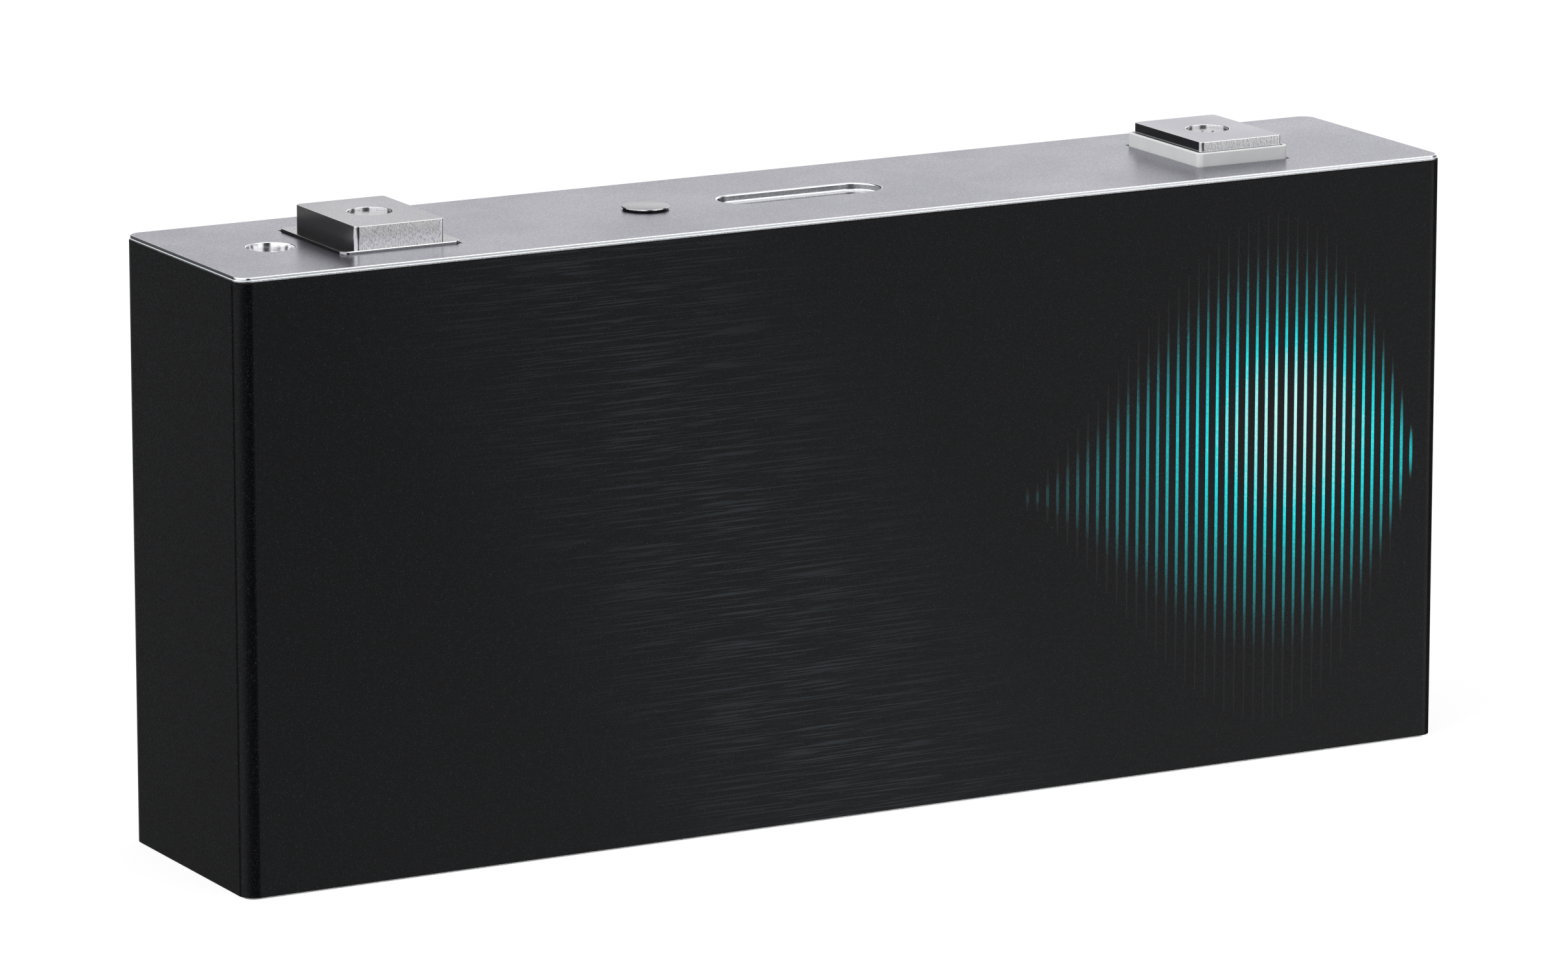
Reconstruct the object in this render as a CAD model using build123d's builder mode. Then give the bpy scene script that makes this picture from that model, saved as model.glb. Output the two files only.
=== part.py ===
from build123d import *
import math
import os

os.makedirs("parts", exist_ok=True)

# A prismatic battery cell. Millimetres, +Z up, length along X, the printed face towards -Y.
# The origin is the middle of the bottom face.

# Whole cell, measured over the printed film and up to the cap plate's top face
cell_length = 221.0
cell_thickness = 42.5
case_height = 99.5
corner_radius = 2.6

# Printed film round the four sides
film_thickness = 0.12
film_adhesive = 0.02
film_bottom_gap = 0.3
film_top_gap = 0.25

# Printed lines, inlaid in the front of the film: a drop-shaped field of upright strokes
ink_thickness = 0.04
line_count = 40
line_pitch = 1.9
line_width = 0.55
line_end_margin = 3.0
field_height = 86.0
field_lean = 1.5
field_crowning = 0.75
shortest_line = 4.0

# Drawn aluminium can
can_wall = 0.8
can_floor = 1.2
can_bottom_chamfer = 0.35
can_rim_chamfer = 0.1

# Cap plate: a flange that stands on the can's rim, and a spigot that fits in its mouth
cap_thickness = 2.5
cap_edge_height = 0.55
cap_edge_inset = 0.1
cap_edge_chamfer = 0.15
cap_fit = 0.1

# Both terminals: distance in from the ends of the cell, and their pockets in the cap plate
terminal_inset = 33.05
pocket_depth = 1.0
recess_depth = 0.5

# Positive terminal: a base plate in its pocket, and a block on it
base_plate_length = 20.95
base_plate_width = 23.4
base_plate_thickness = 1.45
base_plate_corner_radius = 1.4
base_plate_clearance = 0.05
block_length = 15.65
block_width = 21.85
block_height = 3.7
block_corner_chamfer = 0.55
block_edge_chamfer = 0.15

# Negative terminal: a plastic frame in its pocket, and a plate that sits in the frame
frame_length = 17.4
frame_width = 23.2
frame_stand = 2.25
frame_floor = 1.6
frame_corner_radius = 1.0
frame_clearance = 0.2
frame_edge_chamfer = 0.2
plate_length = 15.7
plate_width = 21.6
plate_thickness = 3.35
plate_clearance = 0.1
plate_corner_chamfer = 0.55
plate_edge_chamfer = 0.12

# Poles that carry the current through the cap plate, and the gaskets that seal them
pole_radius = 3.5
pole_flange_radius = 6.2
pole_flange_thickness = 1.2
pole_clearance = 0.05
pole_dimple_radius = 1.1
pole_dimple_depth = 0.45
pole_dimple_taper = 30.0
gasket_wall = 1.0
gasket_flange_thickness = 0.8

# Vent in the middle of the cap plate
vent_length = 29.7
vent_width = 9.0
vent_depth = 1.3
vent_taper = 12.0
membrane_margin = 1.8
membrane_thickness = 0.4
membrane_clearance = 0.1
score_width = 0.4
score_depth = 0.2
score_inset = 1.5

# Seal disc, over the fill hole and its plug
fill_offset = 28.2
disc_radius = 3.87
disc_thickness = 0.55
disc_edge_chamfer = 0.1
plug_radius = 1.5
plug_clearance = 0.05

# Port recess near the positive end, polished, with a pressed pin in its floor
port_inset = 15.7
port_radius = 3.9
port_floor_radius = 3.1
port_depth = 1.9
port_rim_chamfer = 0.15
port_bend_radius = 3.7
port_bend_depth = 1.3
pin_radius = 1.4
pin_stand = 0.3
pin_clearance = 0.03

# Insulation bag and bottom support
bag_thickness = 0.2
bag_clearance = 0.15
bag_top_gap = 0.3
support_thickness = 0.8
support_clearance = 0.2
support_slot_length = 12.0
support_slot_width = 3.0
support_slot_pitch = 20.0
support_slot_row_pitch = 16.0
support_slot_rows = 2

# Electrode rolls, wound round a lengthwise axis, with bare foil gathered at each end
roll_gap = 0.2
roll_head_space = 2.0
foil_pack_thickness = 2.4
foil_pack_height = 68.0
foil_pack_length = 11.0
foil_transition = 4.0
foil_end_gap = 0.3

# Collectors: a plate under the pole and two legs along the gathered foil
collector_thickness = 1.5
collector_reach = 8.0
collector_bend_radius = 0.8
leg_width = 10.0
leg_length = 74.0
fuse_slot_length = 9.0
fuse_slot_width = 3.0
strip_thickness = 0.4
strip_height = 56.0

# Lower insulators between the cap plate and the collectors
insulator_reach = 12.0
insulator_end_gap = 0.8
insulator_lip = 1.2
insulator_lip_wall = 1.0
insulator_hole_clearance = 0.15

# Vent shield under the vent
shield_length = 42.0
shield_width = 17.0
shield_thickness = 1.2
shield_slot_length = 10.0
shield_slot_width = 1.6
shield_slot_pitch = 3.6
shield_slot_count = 9

# Retainers at the two ends of the rolls
retainer_wall = 1.0
retainer_rib = 1.2
retainer_clearance = 0.15
retainer_top_gap = 6.0

# Outlines and heights that follow from the sizes above
can_length = cell_length - 2 * (film_thickness + film_adhesive)
can_width = cell_thickness - 2 * (film_thickness + film_adhesive)
can_corner_radius = corner_radius - film_thickness - film_adhesive
cavity_length = can_length - 2 * can_wall
cavity_width = can_width - 2 * can_wall
cavity_corner_radius = max(can_corner_radius - can_wall, can_wall / 4)
rim_height = case_height - cap_edge_height
film_top = rim_height - film_top_gap
cap_underside = case_height - cap_thickness
pocket_floor = case_height - pocket_depth
block_bottom = pocket_floor + base_plate_thickness
block_top = block_bottom + block_height
frame_top = case_height + frame_stand
plate_bottom = pocket_floor + frame_floor
plate_top = plate_bottom + plate_thickness
membrane_top = case_height - vent_depth
membrane_length = vent_length + 2 * membrane_margin
membrane_width = vent_width + 2 * membrane_margin
port_floor = case_height - port_depth
pole_flange_top = cap_underside - gasket_flange_thickness
collector_top = pole_flange_top - pole_flange_thickness
collector_underside = collector_top - collector_thickness
insulator_thickness = gasket_flange_thickness + pole_flange_thickness

# Places along the cell
terminal_x = cell_length / 2 - terminal_inset
port_x = cell_length / 2 - port_inset

# Plan sizes of the pieces that fill the can, from its walls inwards
bag_length = cavity_length - 2 * bag_clearance
bag_width = cavity_width - 2 * bag_clearance
bag_bottom = can_floor + support_thickness
bag_inner_length = bag_length - 2 * bag_thickness
bag_inner_width = bag_width - 2 * bag_thickness
bag_inner_bottom = bag_bottom + bag_thickness
retainer_end = bag_inner_length / 2 - retainer_clearance
retainer_half_width = bag_inner_width / 2 - retainer_clearance
roll_thickness = (bag_inner_width - 2 * bag_clearance - roll_gap) / 2
roll_centre_y = (roll_thickness + roll_gap) / 2
roll_height = collector_underside - roll_head_space - bag_inner_bottom
roll_centre_z = bag_inner_bottom + roll_height / 2
foil_end = retainer_end - retainer_wall - foil_end_gap
coated_half_length = foil_end - foil_pack_length - foil_transition
leg_face_y = roll_centre_y - foil_pack_thickness / 2
leg_start = foil_end - (foil_pack_length + leg_width) / 2


def upright_plane(centre_x):
    """Plane through a vertical axis at centre_x: its x runs along the cell, its y straight up."""
    return Plane(origin=(centre_x, 0, 0), x_dir=(1, 0, 0), z_dir=(0, -1, 0))


def upright_axis(centre_x):
    """Vertical axis at centre_x."""
    return Axis((centre_x, 0, 0), (0, 0, 1))


# Case can: drawn box with rounded corners, open at its top
with BuildPart() as case_can:
    with BuildSketch():
        RectangleRounded(can_length, can_width, can_corner_radius)
    extrude(amount=rim_height)
    chamfer(case_can.faces().sort_by(Axis.Z)[0].edges(), can_bottom_chamfer)
    with BuildSketch(Plane.XY.offset(can_floor)):
        RectangleRounded(cavity_length, cavity_width, cavity_corner_radius)
    extrude(amount=rim_height - can_floor, mode=Mode.SUBTRACT)
    rim = case_can.faces().sort_by(Axis.Z)[-1]
    chamfer(rim.outer_wire().edges(), can_rim_chamfer)

# Printed lines: upright strokes of ink, tallest past the middle of the field
field_right = cell_length / 2 - corner_radius - line_end_margin
with BuildPart() as printed_lines:
    with BuildSketch(Plane.XZ.offset(cell_thickness / 2 - ink_thickness)):
        for index in range(line_count):
            line_x = field_right - index * line_pitch
            share = (1 - (index + 0.5) / line_count) ** field_lean
            line_height = field_height * math.sin(math.pi * share) ** field_crowning
            with Locations((line_x, (film_top + film_bottom_gap) / 2)):
                Rectangle(line_width, max(line_height, shortest_line))
    extrude(amount=ink_thickness)

# Wrap film: a sleeve round the four sides, short of the rim and of the bottom edge
with BuildPart() as wrap_film:
    with BuildSketch(Plane.XY.offset(film_bottom_gap)):
        RectangleRounded(cell_length, cell_thickness, corner_radius)
        offset(amount=-film_thickness, mode=Mode.SUBTRACT)
    extrude(amount=film_top - film_bottom_gap)
    add(printed_lines.part, mode=Mode.SUBTRACT)

# Cap plate: flange on the rim and spigot in the mouth, then its pockets, bores and recesses
with BuildPart() as cap_plate:
    with BuildSketch(Plane.XY.offset(rim_height)):
        RectangleRounded(can_length, can_width, can_corner_radius)
        offset(amount=-cap_edge_inset, mode=Mode.REPLACE)
    extrude(amount=cap_edge_height)
    chamfer(cap_plate.faces().sort_by(Axis.Z)[-1].edges(), cap_edge_chamfer)
    with BuildSketch(Plane.XY.offset(cap_underside)):
        RectangleRounded(cavity_length, cavity_width, cavity_corner_radius)
        offset(amount=-cap_fit, mode=Mode.REPLACE)
    extrude(amount=rim_height - cap_underside)
    with BuildSketch(Plane.XY.offset(pocket_floor)):
        with Locations((-terminal_x, 0)):
            Rectangle(
                base_plate_length + 2 * base_plate_clearance,
                base_plate_width + 2 * base_plate_clearance,
            )
        with Locations((terminal_x, 0)):
            Rectangle(
                frame_length + 2 * frame_clearance,
                frame_width + 2 * frame_clearance,
            )
    extrude(amount=pocket_depth, mode=Mode.SUBTRACT)
    with BuildSketch(Plane.XY.offset(cap_underside)):
        with Locations((-terminal_x, 0), (terminal_x, 0)):
            Circle(pole_radius + gasket_wall + 2 * pole_clearance)
        with Locations((-fill_offset, 0)):
            Circle(plug_radius + plug_clearance)
        with Locations((-port_x, 0)):
            Circle(pin_radius + pin_clearance)
    extrude(amount=cap_thickness, mode=Mode.SUBTRACT)
    with BuildSketch(Plane.XY.offset(cap_underside)):
        SlotOverall(
            membrane_length + 2 * membrane_clearance,
            membrane_width + 2 * membrane_clearance,
        )
    extrude(amount=membrane_top - cap_underside, mode=Mode.SUBTRACT)
    with BuildSketch(Plane.XY.offset(case_height)):
        SlotOverall(vent_length, vent_width)
    extrude(amount=-vent_depth, taper=vent_taper, mode=Mode.SUBTRACT)
    with BuildSketch(upright_plane(-port_x)):
        with BuildLine():
            Polyline(
                (0, case_height),
                (port_radius + port_rim_chamfer, case_height),
                (port_radius, case_height - port_rim_chamfer),
                (port_bend_radius, case_height - port_bend_depth),
                (port_floor_radius, port_floor),
                (0, port_floor),
                close=True,
            )
        make_face()
    revolve(axis=upright_axis(-port_x), mode=Mode.SUBTRACT)

# Vent membrane: thin plate under the slot, scored from below along the lines where it opens
with BuildPart() as vent_membrane:
    with BuildSketch(Plane.XY.offset(membrane_top - membrane_thickness)):
        SlotOverall(membrane_length, membrane_width)
    extrude(amount=membrane_thickness)
    with BuildSketch(Plane.XY.offset(membrane_top - membrane_thickness)):
        Rectangle(vent_length - vent_width, score_width)
        with GridLocations(vent_length - vent_width, 0, 2, 1):
            Rectangle(score_width, vent_width - 2 * score_inset)
    extrude(amount=score_depth, mode=Mode.SUBTRACT)

# Vent shield: slotted plastic plate that keeps foil away from the membrane
with BuildPart() as vent_shield:
    with BuildSketch(Plane.XY.offset(cap_underside - shield_thickness)):
        Rectangle(shield_length, shield_width)
        with GridLocations(shield_slot_pitch, 0, shield_slot_count, 1):
            Rectangle(shield_slot_width, shield_slot_length, mode=Mode.SUBTRACT)
    extrude(amount=shield_thickness)

# Seal disc, welded on the cap plate over the fill plug
with BuildPart() as seal_disc:
    with BuildSketch(Plane.XY.offset(case_height)):
        with Locations((-fill_offset, 0)):
            Circle(disc_radius)
    extrude(amount=disc_thickness)
    chamfer(seal_disc.edges().sort_by(Axis.Z)[-1], disc_edge_chamfer)

# Fill plug: pressed into the fill hole, flush with the cap plate on both sides
with BuildPart() as fill_plug:
    with BuildSketch(Plane.XY.offset(cap_underside)):
        with Locations((-fill_offset, 0)):
            Circle(plug_radius)
    extrude(amount=cap_thickness)

# Port pin: pressed through the cap plate, its end stands up from the floor of the port recess
with BuildPart() as port_pin:
    with BuildSketch(Plane.XY.offset(cap_underside)):
        with Locations((-port_x, 0)):
            Circle(pin_radius)
    extrude(amount=port_floor + pin_stand - cap_underside)

# Positive base plate: thin flange in its pocket, which joins the block to the cap plate
with BuildPart() as positive_base_plate:
    with BuildSketch(Plane.XY.offset(pocket_floor)):
        with Locations((-terminal_x, 0)):
            RectangleRounded(base_plate_length, base_plate_width, base_plate_corner_radius)
            Circle(pole_radius + pole_clearance, mode=Mode.SUBTRACT)
    extrude(amount=base_plate_thickness)

# Positive terminal: milled block on the base plate, bored for the pole
with BuildPart() as positive_terminal:
    with BuildSketch(Plane.XY.offset(block_bottom)):
        with Locations((-terminal_x, 0)):
            block_outline = Rectangle(block_length, block_width)
        chamfer(block_outline.vertices(), block_corner_chamfer)
    extrude(amount=block_height)
    chamfer(positive_terminal.faces().sort_by(Axis.Z)[-1].edges(), block_edge_chamfer)
    with BuildSketch(Plane.XY.offset(block_bottom)):
        with Locations((-terminal_x, 0)):
            Circle(pole_radius + pole_clearance)
    extrude(amount=block_height, mode=Mode.SUBTRACT)

# Negative frame: moulded plastic tray that keeps the plate off the cap plate
with BuildPart() as negative_frame:
    with BuildSketch(Plane.XY.offset(pocket_floor)):
        with Locations((terminal_x, 0)):
            RectangleRounded(frame_length, frame_width, frame_corner_radius)
    extrude(amount=frame_top - pocket_floor)
    chamfer(negative_frame.faces().sort_by(Axis.Z)[-1].edges(), frame_edge_chamfer)
    with BuildSketch(Plane.XY.offset(plate_bottom)):
        with Locations((terminal_x, 0)):
            Rectangle(plate_length + 2 * plate_clearance, plate_width + 2 * plate_clearance)
    extrude(amount=frame_top - plate_bottom, mode=Mode.SUBTRACT)
    with BuildSketch(Plane.XY.offset(pocket_floor)):
        with Locations((terminal_x, 0)):
            Circle(pole_radius + pole_clearance)
    extrude(amount=frame_floor, mode=Mode.SUBTRACT)

# Negative terminal: plate in the frame, bored for the pole
with BuildPart() as negative_terminal:
    with BuildSketch(Plane.XY.offset(plate_bottom)):
        with Locations((terminal_x, 0)):
            plate_outline = Rectangle(plate_length, plate_width)
        chamfer(plate_outline.vertices(), plate_corner_chamfer)
    extrude(amount=plate_thickness)
    chamfer(negative_terminal.faces().sort_by(Axis.Z)[-1].edges(), plate_edge_chamfer)
    with BuildSketch(Plane.XY.offset(plate_bottom)):
        with Locations((terminal_x, 0)):
            Circle(pole_radius + pole_clearance)
    extrude(amount=plate_thickness, mode=Mode.SUBTRACT)


def build_pole(centre_x, face_height, dimple_radius):
    """Pole of one terminal: a flange on the collector, a shaft, and a dimple if it has a radius."""
    end_height = face_height - recess_depth
    with BuildPart() as pole:
        with BuildSketch(Plane.XY.offset(collector_top)):
            with Locations((centre_x, 0)):
                Circle(pole_flange_radius)
        extrude(amount=pole_flange_thickness)
        with BuildSketch(Plane.XY.offset(pole_flange_top)):
            with Locations((centre_x, 0)):
                Circle(pole_radius)
        extrude(amount=end_height - pole_flange_top)
        if dimple_radius > 0:
            with BuildSketch(Plane.XY.offset(end_height)):
                with Locations((centre_x, 0)):
                    Circle(dimple_radius)
            extrude(amount=-pole_dimple_depth, taper=pole_dimple_taper, mode=Mode.SUBTRACT)
    return pole


def build_gasket(centre_x):
    """Seal of one pole: a sleeve in the cap plate's bore and a flange under the cap plate."""
    with BuildPart() as gasket:
        with BuildSketch(Plane.XY.offset(pole_flange_top)):
            with Locations((centre_x, 0)):
                Circle(pole_flange_radius)
        extrude(amount=gasket_flange_thickness)
        with BuildSketch(Plane.XY.offset(pole_flange_top)):
            with Locations((centre_x, 0)):
                Circle(pole_radius + pole_clearance + gasket_wall)
        extrude(amount=pocket_floor - pole_flange_top)
        with BuildSketch(Plane.XY.offset(pole_flange_top)):
            with Locations((centre_x, 0)):
                Circle(pole_radius + pole_clearance)
        extrude(amount=pocket_floor - pole_flange_top, mode=Mode.SUBTRACT)
    return gasket


def build_insulator(side):
    """Lower insulator of one terminal: a plate with a lip round it, and a hole for the flange."""
    inner_end = terminal_x - insulator_reach
    outer_end = cavity_length / 2 - insulator_end_gap
    centre = (side * (inner_end + outer_end) / 2, 0)
    length = outer_end - inner_end
    width = cavity_width - 2 * insulator_end_gap
    with BuildPart() as insulator:
        with BuildSketch(Plane.XY.offset(collector_top - insulator_lip)):
            with Locations(centre):
                Rectangle(length, width)
        extrude(amount=insulator_thickness + insulator_lip)
        with BuildSketch(Plane.XY.offset(collector_top - insulator_lip)):
            with Locations(centre):
                Rectangle(length - 2 * insulator_lip_wall, width - 2 * insulator_lip_wall)
        extrude(amount=insulator_lip, mode=Mode.SUBTRACT)
        with BuildSketch(Plane.XY.offset(collector_top)):
            with Locations((side * terminal_x, 0)):
                Circle(pole_flange_radius + insulator_hole_clearance)
        extrude(amount=insulator_thickness, mode=Mode.SUBTRACT)
    return insulator


def build_collector(side):
    """Collector of one terminal: a plate on the pole's flange, bent down into two legs."""
    plate_start = terminal_x - collector_reach
    leg_end = leg_start + leg_width
    with BuildPart() as collector:
        with BuildSketch(Plane.XY.offset(collector_underside)):
            with Locations((side * (plate_start + leg_end) / 2, 0)):
                Rectangle(leg_end - plate_start, 2 * (leg_face_y - collector_thickness))
            with Locations((side * (terminal_x + leg_start) / 2, 0)):
                Rectangle(fuse_slot_width, fuse_slot_length, mode=Mode.SUBTRACT)
        extrude(amount=collector_thickness)
        with BuildSketch(Plane.YZ.offset(side * leg_start)):
            with Locations((0, collector_top)):
                bend = Rectangle(2 * leg_face_y, leg_length, align=(Align.CENTER, Align.MAX))
            outer_corners = bend.vertices().group_by(Axis.Y)[-1]
            fillet(outer_corners, collector_bend_radius)
            with Locations((0, collector_underside)):
                Rectangle(
                    2 * (leg_face_y - collector_thickness),
                    leg_length,
                    align=(Align.CENTER, Align.MAX),
                    mode=Mode.SUBTRACT,
                )
        extrude(amount=side * leg_width)
    return collector


def build_weld_strips(side):
    """Backing strips of one collector: one on the far side of each roll's gathered foil."""
    strip_x = side * (leg_start + leg_width / 2)
    strip_y = roll_centre_y + (foil_pack_thickness + strip_thickness) / 2
    with BuildPart() as strips:
        with BuildSketch(Plane.XY.offset(roll_centre_z - strip_height / 2)):
            with Locations((strip_x, strip_y), (strip_x, -strip_y)):
                Rectangle(leg_width, strip_thickness)
        extrude(amount=strip_height)
    return strips


def build_roll(centre_y):
    """Electrode roll: flat wound body, narrowing at both ends into the gathered bare foil."""
    foil_bottom = roll_centre_z - foil_pack_height / 2
    with BuildPart() as roll:
        with BuildSketch(Plane.YZ):
            with Locations((centre_y, roll_centre_z)):
                SlotOverall(roll_height, roll_thickness, rotation=90)
        extrude(amount=coated_half_length)
        with BuildSketch(Plane.XY.offset(foil_bottom)):
            with BuildLine():
                Polyline(
                    (coated_half_length, centre_y + roll_thickness / 2),
                    (coated_half_length + foil_transition, centre_y + foil_pack_thickness / 2),
                    (foil_end, centre_y + foil_pack_thickness / 2),
                    (foil_end, centre_y - foil_pack_thickness / 2),
                    (coated_half_length + foil_transition, centre_y - foil_pack_thickness / 2),
                    (coated_half_length, centre_y - roll_thickness / 2),
                    close=True,
                )
            make_face()
        extrude(amount=foil_pack_height)
        mirror(about=Plane.YZ)
    return roll


def build_retainer(side):
    """End piece of the rolls: a wall across the can's end, with lips and ribs along its length."""
    rib_x = side * (leg_start + retainer_end) / 2
    rib_y = leg_face_y - collector_thickness - retainer_clearance - retainer_rib / 2
    lip_y = retainer_half_width - retainer_rib / 2
    with BuildPart() as retainer:
        with BuildSketch(Plane.XY.offset(bag_inner_bottom)):
            with Locations((side * (retainer_end - retainer_wall / 2), 0)):
                Rectangle(retainer_wall, 2 * retainer_half_width)
            with Locations((rib_x, rib_y), (rib_x, -rib_y), (rib_x, lip_y), (rib_x, -lip_y)):
                Rectangle(retainer_end - leg_start, retainer_rib)
        extrude(amount=collector_underside - retainer_top_gap - bag_inner_bottom)
        upright_edges = retainer.edges().filter_by(Axis.Z).group_by(Axis.X)
        chamfer(upright_edges[-1 if side > 0 else 0], cavity_corner_radius / 2)
    return retainer


# Insulation bag: thin film box round the rolls and retainers, open at its top
with BuildPart() as insulation_bag:
    with BuildSketch(Plane.XY.offset(bag_bottom)):
        bag_outline = Rectangle(bag_length, bag_width)
        chamfer(bag_outline.vertices(), cavity_corner_radius / 2)
    extrude(amount=cap_underside - bag_top_gap - bag_bottom)
    bag_mouth = insulation_bag.faces().sort_by(Axis.Z)[-1]
    offset(amount=-bag_thickness, openings=bag_mouth)

# Bottom support: plastic plate on the can's floor, with rows of slots for the electrolyte
support_inset = cavity_corner_radius / 2 + support_clearance
support_columns = int((cavity_length - 2 * support_inset) // support_slot_pitch)
with BuildPart() as bottom_support:
    with BuildSketch(Plane.XY.offset(can_floor)):
        Rectangle(cavity_length - 2 * support_inset, cavity_width - 2 * support_inset)
        with GridLocations(
            support_slot_pitch, support_slot_row_pitch, support_columns, support_slot_rows
        ):
            Rectangle(support_slot_length, support_slot_width, mode=Mode.SUBTRACT)
    extrude(amount=support_thickness)

positive_pole = build_pole(-terminal_x, block_top, 0)
negative_pole = build_pole(terminal_x, plate_top, pole_dimple_radius)
positive_gasket = build_gasket(-terminal_x)
negative_gasket = build_gasket(terminal_x)
positive_lower_insulator = build_insulator(-1)
negative_lower_insulator = build_insulator(1)
positive_collector = build_collector(-1)
negative_collector = build_collector(1)
positive_weld_strips = build_weld_strips(-1)
negative_weld_strips = build_weld_strips(1)
electrode_roll_front = build_roll(-roll_centre_y)
electrode_roll_back = build_roll(roll_centre_y)
positive_retainer = build_retainer(-1)
negative_retainer = build_retainer(1)

pieces = {
    "case_can": case_can,
    "wrap_film": wrap_film,
    "printed_lines": printed_lines,
    "cap_plate": cap_plate,
    "vent_membrane": vent_membrane,
    "vent_shield": vent_shield,
    "seal_disc": seal_disc,
    "fill_plug": fill_plug,
    "port_pin": port_pin,
    "positive_base_plate": positive_base_plate,
    "positive_terminal": positive_terminal,
    "positive_pole": positive_pole,
    "positive_gasket": positive_gasket,
    "positive_lower_insulator": positive_lower_insulator,
    "positive_collector": positive_collector,
    "positive_weld_strips": positive_weld_strips,
    "positive_retainer": positive_retainer,
    "negative_frame": negative_frame,
    "negative_terminal": negative_terminal,
    "negative_pole": negative_pole,
    "negative_gasket": negative_gasket,
    "negative_lower_insulator": negative_lower_insulator,
    "negative_collector": negative_collector,
    "negative_weld_strips": negative_weld_strips,
    "negative_retainer": negative_retainer,
    "electrode_roll_front": electrode_roll_front,
    "electrode_roll_back": electrode_roll_back,
    "insulation_bag": insulation_bag,
    "bottom_support": bottom_support,
}
for name, piece in pieces.items():
    piece.part.label = name
    export_step(piece.part, f"parts/{name}.step")
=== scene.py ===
"""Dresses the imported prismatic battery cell: finer outer pieces, finishes, studio and camera.

Lengths are in metres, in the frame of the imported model: +X along the cell, -Y out of its
printed face, +Z up through the cap plate.
"""

import logging
import math
from dataclasses import dataclass, field
from enum import Enum
from typing import Callable, Iterable, Optional, Sequence, Union

import bmesh
import bpy
from mathutils import Matrix, Vector


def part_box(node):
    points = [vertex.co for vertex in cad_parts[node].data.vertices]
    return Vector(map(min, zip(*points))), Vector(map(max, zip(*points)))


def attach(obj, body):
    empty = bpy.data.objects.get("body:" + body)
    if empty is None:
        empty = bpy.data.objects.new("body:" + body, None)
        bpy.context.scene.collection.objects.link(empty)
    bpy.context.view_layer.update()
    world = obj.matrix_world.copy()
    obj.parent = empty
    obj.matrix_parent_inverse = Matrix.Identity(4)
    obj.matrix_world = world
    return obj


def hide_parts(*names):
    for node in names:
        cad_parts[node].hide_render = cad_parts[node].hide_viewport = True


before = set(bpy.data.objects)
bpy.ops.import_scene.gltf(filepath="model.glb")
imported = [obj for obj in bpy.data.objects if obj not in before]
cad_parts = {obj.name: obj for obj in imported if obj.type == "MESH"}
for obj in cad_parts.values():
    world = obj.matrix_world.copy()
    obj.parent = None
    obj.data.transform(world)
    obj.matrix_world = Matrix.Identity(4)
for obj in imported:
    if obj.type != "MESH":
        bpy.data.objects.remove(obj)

MM = 0.001
BODY = "root"

log = logging.getLogger("cell")
Colour = tuple[float, float, float]
Place = tuple[float, float, float]
Material = bpy.types.Material
Socket = bpy.types.NodeSocket
Value = Union[Socket, float, Sequence[float]]
Face = bmesh.types.BMFace
Chooser = Callable[[Face], bool]
Span = tuple[float, float]
Band = tuple[Span, ...]


class Skin(Enum):
    """Face groups of a machined piece, by the index of their material."""

    FACE = 0
    CUT = 1
    EDGE = 2
    BORE = 3
    # SHADED_END holds end faces that take a darker copy of the piece's metal, as painted shade.
    SHADED_END = 4


class Boolean(Enum):
    """How one solid changes another, by the name that the modifier gives it."""

    CUT = "DIFFERENCE"
    JOIN = "UNION"


def shade(colour: Colour, factor: float) -> Colour:
    """A colour made lighter or darker by a factor."""
    return tuple(min(1.0, part * factor) for part in colour)


def opaque(colour: Colour) -> tuple[float, float, float, float]:
    """A colour with full cover, as sockets hold it."""
    return (*colour, 1.0)


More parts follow.
